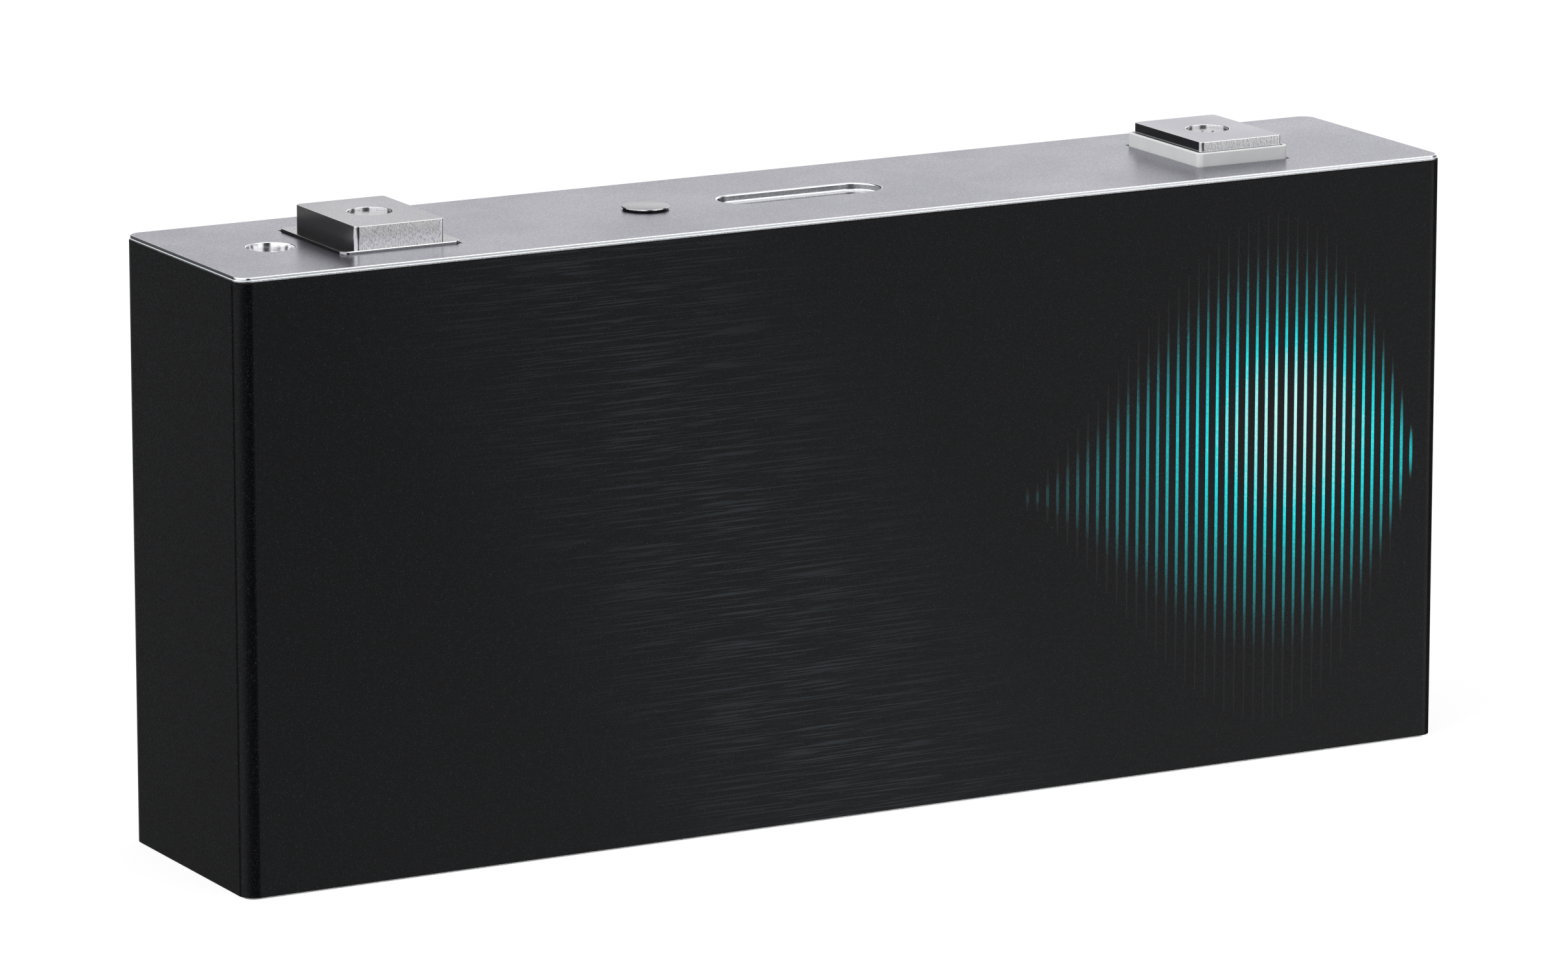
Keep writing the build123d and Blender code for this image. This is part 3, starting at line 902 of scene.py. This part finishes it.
@dataclass
class Shell:
    """The drawn can, the film round it and the weld bead under the cap plate."""

    palette: Palette
    film_backing: float = 0.000005
    film_wall: float = 0.12 * MM
    corner: float = 2.6 * MM
    can_gap: float = 0.14 * MM
    can_wall: float = 0.8 * MM
    can_floor: float = 1.2 * MM
    can_heel: float = 0.35 * MM
    heel_steps: int = 3
    bead_height: float = 0.2 * MM
    bead_round: float = 0.084 * MM
    bead_steps: int = 3
    bead_crease: float = 1.0
    corner_steps: int = 12

    @property
    def can_corner(self) -> float:
        """Corner radius of the can, which stands back from the film."""
        return self.corner - self.can_gap

    def build(self) -> None:
        """Builds the can, the film and the bead."""
        self.build_can()
        self.build_film()
        self.build_bead()

    def build_can(self) -> None:
        """Builds the can: a box with rounded corners and heel, hollow and open at its top."""
        low, high = corners("case_can")
        outside = Form.box(low, high)
        outside.bevel(outside.upright_edges(), self.can_corner, self.corner_steps)
        outside.bevel(outside.edges_at(low.z), self.can_heel, self.heel_steps)
        wall, floor = level(self.can_wall), Vector((0, 0, self.can_floor))
        inside = Form.box(low + wall + floor, high - wall + floor)
        inside.bevel(inside.upright_edges(), self.can_corner - self.can_wall, self.corner_steps)
        can = Piece("drawn_can", outside, [self.palette.can])
        can.combine(Boolean.CUT, inside).hand_over("can_aluminium", "case_can")

    def build_film(self) -> None:
        """Builds the film: a thin sleeve with rounded corners."""
        low, high = corners("wrap_film")
        skin = level(self.film_backing)
        corner = self.corner - self.film_backing
        sleeve = Form.sleeve(low + skin, high - skin, corner, self.corner_steps, self.film_wall)
        Piece("film_sleeve", sleeve, [self.palette.film]).hand_over("film_black", "wrap_film")

    def build_bead(self) -> None:
        """Builds the bead of the weld: a slim rounded band where cap plate and can meet."""
        low, high = corners("case_can")
        bottom, top = high.z - self.bead_height / 2, high.z + self.bead_height / 2
        low.z, high.z = bottom, top
        band = Form.sleeve(low, high, self.can_corner, self.corner_steps, self.bead_height)
        ends = band.edges_at(bottom) + band.edges_at(top)
        rims = [edge for edge in ends if edge.calc_face_angle(0) > self.bead_crease]
        band.bevel(rims, self.bead_round, self.bead_steps)
        # The bead's near-white bluish finish is partly a painted highlight.
        Piece("weld_bead", band, [self.palette.weld]).hand_over("can_aluminium")


@dataclass
class Print:
    """The printed field: upright strokes of ink that fade at their tips."""

    palette: Palette
    count: int = 40
    pitch: float = 1.9 * MM
    width: float = 0.55 * MM
    lean: float = 1.5
    crowning: float = 0.75
    height: float = 86.0 * MM
    shortest: float = 4.0 * MM
    tip_share: float = 0.35
    cuts: int = 7

    def build(self) -> None:
        """Builds every stroke in one piece, divided along its length and narrowed at its tips."""
        low, high = corners("printed_lines")
        middle = (low + high) / 2
        right = high.x - self.width / 2
        strokes = Form()
        for index in range(self.count):
            made = bmesh.ops.create_cube(strokes.bm, size=1.0)["verts"]
            size = (self.width, high.y - low.y, self.length(index))
            place = (right - index * self.pitch, middle.y, middle.z)
            bmesh.ops.scale(strokes.bm, vec=size, verts=made)
            bmesh.ops.translate(strokes.bm, vec=place, verts=made)
        bmesh.ops.subdivide_edges(
            strokes.bm, edges=strokes.upright_edges(), cuts=self.cuts, use_grid_fill=True
        )
        tip = strokes.bm.verts.layers.float.new(GlowInk.tip_attribute)
        for vert in strokes.bm.verts:
            index = round((right - vert.co.x) / self.pitch)
            x = right - index * self.pitch
            vert[tip] = abs(vert.co.z - middle.z) / (self.length(index) / 2)
            narrowing = 1 - (1 - self.tip_share) * vert[tip] ** 3
            vert.co.x = x + (vert.co.x - x) * narrowing
        Piece("ink_strokes", strokes, [self.palette.ink]).hand_over("ink_teal", "printed_lines")

    def length(self, index: int) -> float:
        """Length of the stroke with this number, counted from the right."""
        share = (1 - (index + 0.5) / self.count) ** self.lean
        return max(self.height * math.sin(math.pi * share) ** self.crowning, self.shortest)


@dataclass
class Cap:
    """The cap plate with its pockets, bores and recesses, and the seal disc."""

    palette: Palette
    flange: float = 0.55 * MM
    corner: float = 2.36 * MM
    corner_steps: int = 12
    edge_round: float = 0.16 * MM
    edge_steps: int = 3
    spigot_gap: float = 1.04 * MM
    spigot_corner: float = 1.56 * MM
    spigot_corner_steps: int = 6
    pocket_depth: float = 1.0 * MM
    base_plate_gap: float = 0.05 * MM
    frame_gap: float = 0.2 * MM
    bore: float = 4.6 * MM
    vent_length: float = 29.7 * MM
    vent_width: float = 9.0 * MM
    vent_depth: float = 1.3 * MM
    vent_taper: float = 12.0
    vent_foot: float = 0.3 * MM
    vent_lip_steps: int = 6
    vent_foot_steps: int = 8
    membrane_clearance: float = 0.1 * MM
    port_radius: float = 3.9 * MM
    port_lip: float = 0.15 * MM
    port_depth: float = 1.9 * MM
    port_waist: float = 3.7 * MM
    port_floor: float = 3.1 * MM
    port_lip_steps: int = 5
    port_bend_steps: int = 12
    pin_bore: float = 1.43 * MM
    plug_bore: float = 1.55 * MM
    disc_undercut: float = 0.22 * MM
    disc_side: float = 0.2 * MM
    disc_round: float = 0.05 * MM

    def build(self) -> None:
        """Builds the cap plate and the disc."""
        self.low, self.high = corners("cap_plate")
        self.build_plate()
        self.build_disc()

    def build_plate(self) -> None:
        """Builds the plate: flange and spigot, less its pockets, bores and recesses."""
        skin = self.palette
        seam = self.high.z - self.flange
        flange = Form.box((self.low.x, self.low.y, seam), self.high)
        flange.bevel(flange.upright_edges(), self.corner, self.corner_steps)
        # The flange's ends take a darker copy of its bright edge metal, as painted shade.
        flange.paint(Skin.EDGE, upright()).paint(Skin.SHADED_END, endwise())
        flange.bevel(flange.edges_at(self.high.z), self.edge_round, self.edge_steps, Skin.EDGE)
        gap = level(self.spigot_gap)
        inner_top = Vector((self.high.x, self.high.y, seam + self.flange / 2))
        spigot = Form.box(self.low + gap, inner_top - gap)
        spigot.bevel(spigot.upright_edges(), self.spigot_corner, self.spigot_corner_steps)
        finishes = [skin.cap, skin.slot_wall_shade, skin.cap_edge, skin.port_wall, skin.cap_end_shade]
        plate = Piece("cap_cover", flange, finishes).combine(Boolean.JOIN, spigot)
        plate.combine(
            Boolean.CUT,
            self.pocket("positive_base_plate", self.base_plate_gap),
            self.pocket("negative_frame", self.frame_gap),
            self.hole("positive_pole", self.bore),
            self.hole("negative_pole", self.bore),
            self.hole("fill_plug", self.plug_bore),
            self.hole("port_pin", self.pin_bore),
            self.membrane_seat(),
            self.vent_mouth(),
            self.port_bowl(),
        )
        plate.hand_over("cap_aluminium", "cap_plate")

    def middle_x(self, node: str) -> float:
        """X of the middle of a node."""
        low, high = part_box(node)
        return (low[0] + high[0]) / 2

    def pocket(self, node: str, clearance: float) -> Form:
        """Pocket in the plate's top for one node.

        Args:
            node: The node that sits in it.
            clearance: Gap round the node.

        Returns:
            The solid to cut out.
        """
        low, high = corners(node)
        low.z = self.high.z - self.pocket_depth
        high.z = self.high.z + self.pocket_depth
        return Form.box(low - level(clearance), high + level(clearance))

    def hole(self, node: str, radius: float) -> Form:
        """Round hole through the plate, in line with a node."""
        return Form.rod(radius, self.low.z - MM, self.high.z + MM, self.middle_x(node))

    def membrane_seat(self) -> Form:
        """Pocket in the plate's underside for the membrane.

        Returns:
            The solid to cut out.
        """
        low, high = corners("vent_membrane")
        width = high.y - low.y
        radius = width / 2 + self.membrane_clearance
        seat = Form.rod(radius, self.low.z - MM, self.high.z - self.vent_depth, 0)
        return seat.stretch(0, high.x - low.x - width)

    def vent_mouth(self) -> Form:
        """Coined slot above the membrane: rounded lip, wall and a bright hollow foot.

        Returns:
            The solid to cut out.
        """
        top = self.high.z
        rim = self.vent_width / 2
        lip = self.vent_depth * math.tan(math.radians(self.vent_taper))
        floor = top - self.vent_depth
        foot = self.vent_foot
        profile = [(0, top + MM), (rim, top + MM)]
        profile += arc((rim, top - lip), lip, 90, 180, self.vent_lip_steps)
        profile += arc((rim - lip - foot, floor + foot), foot, 0, -90, self.vent_foot_steps)
        profile.append((0, floor))
        # The wall takes the darker slot finish as painted shade; lip and foot take the bright edge metal.
        mouth = Form.turned(profile, 0).paint(Skin.CUT)
        mouth.paint(Skin.EDGE, between(top - lip, top)).paint(Skin.EDGE, between(floor, floor + foot))
        return mouth.stretch(0, self.vent_length - self.vent_width)

    def port_bowl(self) -> Form:
        """Bowl of the port recess: a rounded lip, a steep wall and a bend into its floor.

        Returns:
            The solid to cut out.
        """
        top = self.high.z
        rim = self.port_radius + self.port_lip
        floor = top - self.port_depth
        bend = self.port_waist - self.port_floor
        profile = [(0, top + MM), (rim, top + MM)]
        profile += arc((rim, top - self.port_lip), self.port_lip, 90, 180, self.port_lip_steps)
        profile += arc((self.port_floor, floor + bend), bend, 0, -90, self.port_bend_steps)
        profile.append((0, floor))
        bowl = Form.turned(profile, self.middle_x("port_pin")).paint(Skin.BORE)
        return bowl.paint(Skin.EDGE, between(top - self.port_lip, top))

    def build_disc(self) -> None:
        """Builds the seal disc: flat top, torn side and an undercut foot painted near-black as shade."""
        low, high = corners("seal_disc")
        radius = (high.x - low.x) / 2
        foot = radius - self.disc_undercut
        step = high.z - self.disc_side
        rounding = self.disc_round
        profile = [(0, high.z)]
        profile += arc((radius - rounding, high.z - rounding), rounding, 90, 0, self.edge_steps)
        profile += [(radius, step), (foot, step), (foot, low.z), (0, low.z)]
        disc = Form.turned(profile, self.middle_x("seal_disc")).paint(Skin.CUT, upright(0.95))
        # The undercut foot is painted near-black as shade.
        disc.paint(Skin.EDGE, between(low.z, step))
        skin = self.palette
        piece = Piece("disc_cover", disc, [skin.disc_top, skin.disc_side, skin.disc_foot_shade])
        piece.hand_over("disc_aluminium", "seal_disc")


@dataclass
class Terminal:
    """What the two terminals share: a bored, bevelled block that stands on its seat."""

    palette: Palette
    block_node: str = "positive_terminal"
    seat_node: str = "positive_base_plate"
    corner: float = 0.73 * MM
    corner_steps: int = 6
    edge: float = 0.12 * MM
    edge_steps: int = 2
    bore: float = 3.55 * MM
    bore_lip: float = 0.14 * MM
    lip_steps: int = 4
    skins: list = field(default_factory=list)

    def block(self, name: str, slot: str) -> None:
        """Builds the block with its rounded corners, softened top edge and bore.

        Args:
            name: Name of the piece.
            slot: Passed on to hand_over, which does not use it.
        """
        low, high = corners(self.block_node)
        # The block's ends take a darker copy of its metal, as painted shade.
        form = Form.box(low, high).paint(Skin.CUT, upright()).paint(Skin.SHADED_END, endwise())
        form.bevel(form.upright_edges(), self.corner, self.corner_steps, Skin.EDGE)
        form.bevel(form.edges_at(high.z), self.edge, self.edge_steps, Skin.EDGE)
        piece = Piece(name, form, self.skins).combine(Boolean.CUT, self.bore_tool(low, high))
        piece.hand_over(slot, self.block_node)

    def bore_tool(self, low: Vector, high: Vector) -> Form:
        """Bore with a rounded lip at its top.

        Args:
            low: Lowest corner of the block.
            high: Highest corner of the block.

        Returns:
            The solid to cut out.
        """
        lip = self.bore_lip
        profile = [(0, high.z + MM), (self.bore + lip, high.z + MM)]
        profile += arc((self.bore + lip, high.z - lip), lip, 90, 180, self.lip_steps)
        profile += [(self.bore, low.z - MM), (0, low.z - MM)]
        return Form.turned(profile, (low.x + high.x) / 2).paint(Skin.BORE)

    def pole_bore(self, low: Vector, high: Vector) -> Form:
        """Plain bore for the pole through a seat."""
        return Form.rod(self.bore, low.z - MM, high.z + MM, (low.x + high.x) / 2)


@dataclass
class PositiveTerminal(Terminal):
    """The milled block on its base plate."""

    plate_corner: float = 1.4 * MM
    plate_corner_steps: int = 8
    plate_edge: float = 0.14 * MM
    plate_edge_steps: int = 3
    shaded_end_share: float = 0.3

    def build(self) -> None:
        """Builds the block and the base plate."""
        skin = self.palette
        self.skins = [skin.block_top, skin.block_side, skin.bright_edge, skin.ring, skin.block_end_shade]
        self.block("milled_block", "terminal_aluminium")
        low, high = corners(self.seat_node)
        plate = Form.box(low, high)
        plate.bevel(plate.upright_edges(), self.plate_corner, self.plate_corner_steps)
        plate.bevel(plate.edges_at(high.z), self.plate_edge, self.plate_edge_steps, Skin.CUT)
        # The base plate's end faces and end bevels take the darker copy, as painted shade.
        plate.paint(Skin.EDGE, endwise(self.shaded_end_share))
        piece = Piece("base_flange", plate, [skin.base_plate, skin.bright_edge, skin.plate_end_shade])
        piece.combine(Boolean.CUT, self.pole_bore(low, high))
        piece.hand_over("base_plate_aluminium", self.seat_node)


@dataclass
class NegativeTerminal(Terminal):
    """The plate in its moulded frame."""

    block_node: str = "negative_terminal"
    seat_node: str = "negative_frame"
    corner: float = 0.67 * MM
    frame_corner: float = 1.0 * MM
    frame_corner_steps: int = 10
    frame_edge: float = 0.2 * MM
    frame_edge_steps: int = 4
    plate_gap: float = 0.3 * MM

    def build(self) -> None:
        """Builds the plate and the frame."""
        skin = self.palette
        self.skins = [skin.plate_top, skin.plate_side, skin.bright_edge, skin.ring, skin.plate_end_shade]
        self.block("coined_plate", "plated_plate")
        low, high = corners(self.seat_node)
        moulding = Form.box(low, high)
        moulding.bevel(moulding.upright_edges(), self.frame_corner, self.frame_corner_steps)
        moulding.bevel(moulding.edges_at(high.z), self.frame_edge, self.frame_edge_steps)
        plate_low, plate_high = corners(self.block_node)
        gap = level(self.plate_gap)
        well = Form.box(plate_low - gap, plate_high + gap)
        piece = Piece("moulded_frame", moulding, [skin.frame_plastic])
        piece.combine(Boolean.CUT, well, self.pole_bore(low, high))
        piece.hand_over("frame_plastic", self.seat_node)


@dataclass
class CarriedNodes:
    """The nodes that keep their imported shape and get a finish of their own."""

    palette: Palette

    def dress(self) -> None:
        """Gives each carried node its finish."""
        skin = self.palette
        finishes = {
            "vent_membrane": skin.membrane,
            "vent_shield": skin.insulator,
            "fill_plug": skin.rubber,
            "port_pin": skin.port_wall,
            "bottom_support": skin.insulator,
            "insulation_bag": skin.bag,
            "electrode_roll_front": skin.electrode,
            "electrode_roll_back": skin.electrode,
        }
        for side, metal in (("positive", skin.sheet_aluminium), ("negative", skin.sheet_copper)):
            finishes |= {
                f"{side}_pole": skin.pole,
                f"{side}_gasket": skin.rubber,
                f"{side}_lower_insulator": skin.insulator,
                f"{side}_retainer": skin.insulator,
                f"{side}_collector": metal,
                f"{side}_weld_strips": metal,
            }
        for name, finish in finishes.items():
            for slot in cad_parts[name].material_slots:
                slot.material = finish
        log.info("carried nodes: %d", len(finishes))


@dataclass
class Studio:
    """Floor, surrounding light, lamps and camera.

    The surroundings that shiny surfaces mirror are bands of bright screens and dark gaps. Each
    band lists strengths by heading in degrees: 0 is -X, 90 is -Y and 180 is +X.
    """

    floor_size: float = 12.0
    floor_white: float = 0.85
    floor_glow: float = 1.06
    floor_glow_share: float = 0.8
    diffuse_sky: float = 0.6
    gloss_peak: float = 1.6
    far_left: Band = ((-180, 0.05), (-160, 0.03), (-100, 0.03))
    left_screen: Band = (
        (-55, 0.0), (-42, 0.0), (-28, 0.36), (4, 0.36), (30, 0.15), (44, 0.0), (102, 0.0),
    )
    far_right: Band = ((164, 0.05), (180, 0.05))
    near_band: Band = far_left + ((-88, 0.13), (-68, 0.11)) + left_screen + (
        (111, 0.1), (115, 0.3), (116.5, 0.6), (118.5, 0.8), (122, 0.75), (150, 0.7),
    ) + far_right
    low_band: Band = far_left + ((-88, 0.15), (-68, 0.13)) + left_screen + (
        (111, 0.04), (115, 0.1), (116.5, 0.2), (118.5, 0.35), (122, 0.42), (150, 0.6),
    ) + far_right
    middle_band: Band = (
        (-180, 0.5), (-160, 0.7), (-135, 0.82), (-124, 0.77), (-118, 0.67), (-113, 0.7), (-103, 0.06),
        (-90, 0.03), (-44, 0.03), (-32, 0.85), (62, 0.9), (69, 0.01), (95, 0.01), (106, 0.75),
        (142, 0.9), (152, 0.03), (174, 0.03),
    )
    dome: Band = (
        (-180, 0.5), (-120, 0.35), (-80, 0.1), (-60, 0.1), (-30, 0.9), (90, 0.9), (150, 0.9), (180, 0.5),
    )
    nadir: float = 0.12
    nadir_edge: Span = (-0.85, -0.62)
    floor_mirrored: float = 1.1
    floor_edge: Span = (-0.5, -0.36)
    near_edge: Span = (-0.27, -0.19)
    low_to_middle: Span = (-0.1, 0.02)
    middle_to_dome: Span = (0.32, 0.6)
    lamps: tuple[tuple[str, Place, float, float], ...] = (
        ("key_softbox", (-1.5, -0.5, 1.1), 1.0, 21.0), ("top_softbox", (0.3, -0.3, 1.7), 1.4, 15.0),
    )
    lens: float = 200.11
    azimuth: float = -28.658
    elevation: float = 12.658
    distance: float = 1.4255
    aim: Place = (0.0, 0.0, 0.0495)
    aside: float = -0.002485
    above: float = 0.000596
    clip: Span = (0.05, 50.0)

    def build(self) -> None:
        """Builds the whole studio."""
        self.build_floor()
        self.build_sky()
        for lamp in self.lamps:
            self.build_lamp(*lamp)
        self.build_camera()

    def build_floor(self) -> None:
        """Builds the pale floor, which shows white to the camera but keeps the shadow."""
        bm = bmesh.new()
        bmesh.ops.create_grid(bm, x_segments=1, y_segments=1, size=self.floor_size / 2)
        mesh = bpy.data.meshes.new("floor")
        bm.to_mesh(mesh)
        bm.free()
        floor = bpy.data.objects.new("floor", mesh)
        bpy.context.collection.objects.link(floor)
        material = bpy.data.materials.new("floor_white")
        material.use_nodes = True
        board = NodeBoard(material.node_tree)
        board.nodes.remove(board.nodes["Principled BSDF"])
        matt = board.add("BsdfDiffuse", "BSDF", {"Color": opaque([self.floor_white] * 3)})
        white = board.add("Emission", "Emission", {"Strength": self.floor_glow})
        seen = board.add("LightPath", "Is Camera Ray", {})
        share = board.calc("MULTIPLY", seen, self.floor_glow_share)
        surface = board.add("MixShader", "Shader", {0: share, 1: matt, 2: white})
        board.feed(board.nodes["Material Output"].inputs["Surface"], surface)
        mesh.materials.append(material)
        floor.visible_glossy = False

    def build_sky(self) -> None:
        """Lights the scene evenly, white to the camera, and gives shiny surfaces their bands."""
        world = bpy.data.worlds.new("studio")
        bpy.context.scene.world = world
        world.use_nodes = True
        board = NodeBoard(world.node_tree)
        direction = board.add("TexCoord", "Generated", {})
        left, front = (board.calc("MULTIPLY", board.axis(direction, name), -1.0) for name in "XY")
        height = board.axis(direction, "Z")
        turn = board.calc("MULTIPLY_ADD", board.calc("ARCTAN2", front, left), 1 / math.tau, 0.5)

        def rise(ends: Span) -> Socket:
            """Smooth step between two heights of the direction."""
            return board.remap(height, *ends, 0.0, 1.0)

        def band(strengths: Band) -> Socket:
            """Strength by heading."""
            return board.ramp(turn, [((heading + 180) / 360, [part] * 3) for heading, part in strengths])

        low = board.blend(rise(self.near_edge), band(self.near_band), band(self.low_band))
        floor = board.blend(rise(self.nadir_edge), self.nadir, self.floor_mirrored)
        low = board.blend(rise(self.floor_edge), floor, low)
        around = board.blend(rise(self.low_to_middle), low, band(self.middle_band))
        surroundings = board.blend(rise(self.middle_to_dome), around, band(self.dome))
        gloss = board.calc("MULTIPLY", surroundings, self.gloss_peak)
        mirrored, seen = (board.add("LightPath", f"Is {kind} Ray", {}) for kind in ("Glossy", "Camera"))
        strength = board.blend(seen, board.blend(mirrored, self.diffuse_sky, gloss), 1.0)
        background = board.nodes["Background"].inputs
        board.feed(background["Color"], opaque((1, 1, 1)))
        board.feed(background["Strength"], strength)

    def build_lamp(self, name: str, place: Sequence[float], size: float, power: float) -> None:
        """Builds a soft lamp that points at the cell.

        Args:
            name: Name of the lamp.
            place: Where it stands.
            size: Side of its square face.
            power: Its power in watts.
        """
        data = bpy.data.lights.new(name, "AREA")
        data.size = size
        data.energy = power
        lamp = bpy.data.objects.new(name, data)
        lamp.location = place
        lamp.rotation_mode = "QUATERNION"
        lamp.rotation_quaternion = (Vector(self.aim) - Vector(place)).to_track_quat("-Z", "Y")
        lamp.visible_glossy = False
        bpy.context.collection.objects.link(lamp)

    def build_camera(self) -> None:
        """Builds the camera at the photograph's viewing angle."""
        turn, rise = math.radians(self.azimuth), math.radians(self.elevation)
        level_back = Vector((math.sin(turn), -math.cos(turn), 0)) * math.cos(rise)
        back = level_back + Vector((0, 0, math.sin(rise)))
        right = Vector((math.cos(turn), math.sin(turn), 0))
        up = right.cross(back) * -1
        data = bpy.data.cameras.new("camera")
        data.lens = self.lens
        data.clip_start, data.clip_end = self.clip
        camera = bpy.data.objects.new("camera", data)
        offset = back * self.distance + right * self.aside + up * self.above
        camera.location = Vector(self.aim) + offset
        camera.rotation_mode = "QUATERNION"
        camera.rotation_quaternion = (-back).to_track_quat("-Z", "Y")
        bpy.context.collection.objects.link(camera)
        bpy.context.scene.camera = camera


def main() -> None:
    """Builds the studio and every piece."""
    logging.basicConfig(level=logging.INFO, format="%(message)s")
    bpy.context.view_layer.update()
    bpy.context.scene.view_settings.view_transform = "Standard"
    palette = Palette()
    Studio().build()
    Shell(palette).build()
    Print(palette).build()
    Cap(palette).build()
    PositiveTerminal(palette).build()
    NegativeTerminal(palette).build()
    CarriedNodes(palette).dress()


if __name__ == "__main__":
    main()
